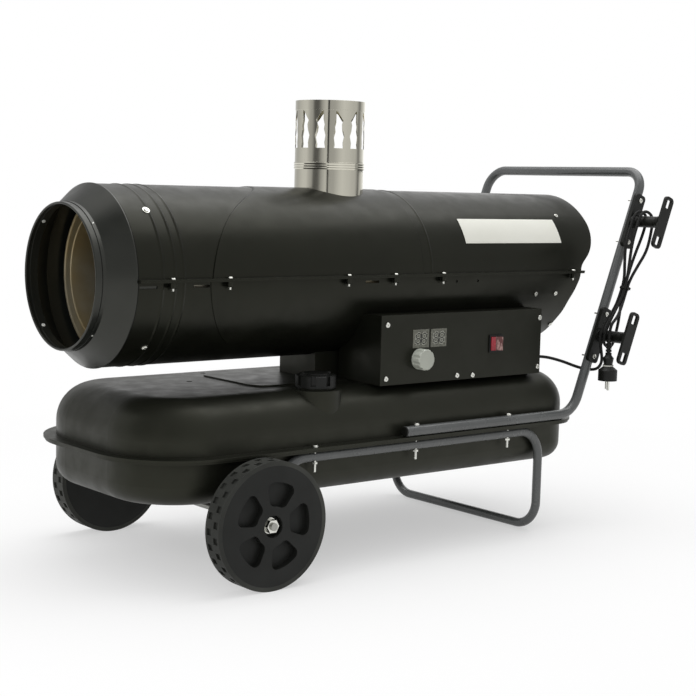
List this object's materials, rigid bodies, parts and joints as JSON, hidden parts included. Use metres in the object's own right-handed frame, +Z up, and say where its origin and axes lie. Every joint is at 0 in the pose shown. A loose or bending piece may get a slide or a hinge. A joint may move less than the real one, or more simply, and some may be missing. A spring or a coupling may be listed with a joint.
{
  "type": "oil-fired air heater",
  "caption": "Wheeled oil-fired air heater: barrel over a fuel tank, flue pipe, control box, push handle with cord hooks, and a mains cord.",
  "frame": {"origin": "on the floor, under the middle of the heater's outline without its cord", "axes": "+X along the barrel from the outlet to the push handle, +Y away from the control box, +Z up"},
  "size_m": [1.1211, 0.538, 0.757],
  "materials": {
    "black_coat": "satin black powder coat",
    "tube_grey": "satin dark grey powder coat",
    "bright_steel": "polished stainless steel",
    "hot_steel": "heat-tinted stainless steel",
    "zinc": "bright zinc plate",
    "black_plastic": "moulded, slightly rough",
    "rubber": "matt",
    "tyre_rubber": "matt, worn grey",
    "cast_metal": "as cast",
    "brass": "turned",
    "steel_pin": "bright turned",
    "display": "unlit display window",
    "board": "lacquered board",
    "grey_plastic": "moulded light grey",
    "red_plastic": "translucent red"
  },
  "bodies": {
    "base": {"axle": "zinc", "axle_nuts": "zinc", "axle_spacers": "zinc", "barrel_front_shell": "black_coat", "barrel_lower_shell": "black_coat", "barrel_middle_cover": "black_coat", "barrel_rear_shell": "black_coat", "burner_head": "hot_steel", "cable_tie": "black_plastic", "collar_screws": "zinc", "combustion_chamber": "hot_steel", "cone_screws": "zinc", "control_board": "board", "control_box": "black_coat", "control_panel": "black_coat", "cord_gland": "black_plastic", "cord_hook_lower": "black_plastic", "cord_hook_upper": "black_plastic", "display_left": "display", "display_right": "display", "drum_feet": "black_coat", "fan_guard": "black_coat", "filler_neck": "black_coat", "flue_stub": "bright_steel", "flue_top": "bright_steel", "foot_tube": "tube_grey", "frame_bolts": "zinc", "frame_nuts": "zinc", "fuel_filter": "cast_metal", "fuel_nozzle": "brass", "fuel_pump": "cast_metal", "handle_tube": "tube_grey", "heat_exchanger": "hot_steel", "hook_screws": "zinc", "lower_rail_far": "tube_grey", "lower_rail_near": "tube_grey", "motor": "cast_metal", "motor_bracket": "zinc", "outlet_collar": "black_coat", "outlet_cone": "black_coat", "panel_screws": "zinc", "pedestal": "black_coat", "plug_body": "rubber", "plug_pins": "steel_pin", "power_cord": "rubber", "seam_screws": "zinc", "shell_screws": "zinc", "switch_housing": "black_plastic", "tank_lower_shell": "black_coat", "tank_upper_shell": "black_coat"},
    "wheel_near": {"wheel_rim_near": "black_plastic", "wheel_tyre_near": "tyre_rubber"},
    "wheel_far": {"wheel_rim_far": "black_plastic", "wheel_tyre_far": "tyre_rubber"},
    "fan_rotor": {"fan": "black_plastic"},
    "knob": {"thermostat_knob": "grey_plastic", "knob_shaft": "steel_pin"},
    "rocker": {"switch_rocker": "red_plastic"},
    "cap_lift": {"cap_seal": "rubber"},
    "cap": {"fuel_cap": "black_plastic"}
  },
  "joints": [
    {"name": "wheel_near_spin", "type": "hinge", "parent": "base", "child": "wheel_near", "pos_m": [-0.334, -0.2255, 0.1], "axis": [0, 1, 0], "continuous": true},
    {"name": "wheel_far_spin", "type": "hinge", "parent": "base", "child": "wheel_far", "pos_m": [-0.334, 0.2485, 0.1], "axis": [0, 1, 0], "continuous": true},
    {"name": "fan_spin", "type": "hinge", "parent": "base", "child": "fan_rotor", "pos_m": [0.389, 0.0115, 0.466], "axis": [1, 0, 0], "continuous": true},
    {"name": "knob_turn", "type": "hinge", "parent": "base", "child": "knob", "pos_m": [0.026, -0.1685, 0.327], "axis": [0, -1, 0], "range_deg": [-135, 135]},
    {"name": "rocker_tip", "type": "hinge", "parent": "base", "child": "rocker", "pos_m": [0.2052, -0.1605, 0.345], "axis": [0, 0, 1], "range_deg": [0, 24]},
    {"name": "cap_lift_off", "type": "slide", "parent": "base", "child": "cap_lift", "axis": [0, 0, 1], "range_m": [0, 0.03]},
    {"name": "cap_turn", "type": "hinge", "parent": "cap_lift", "child": "cap", "pos_m": [-0.17, -0.1285, 0.31], "axis": [0, 0, 1], "range_deg": [0, 90]}
  ]
}
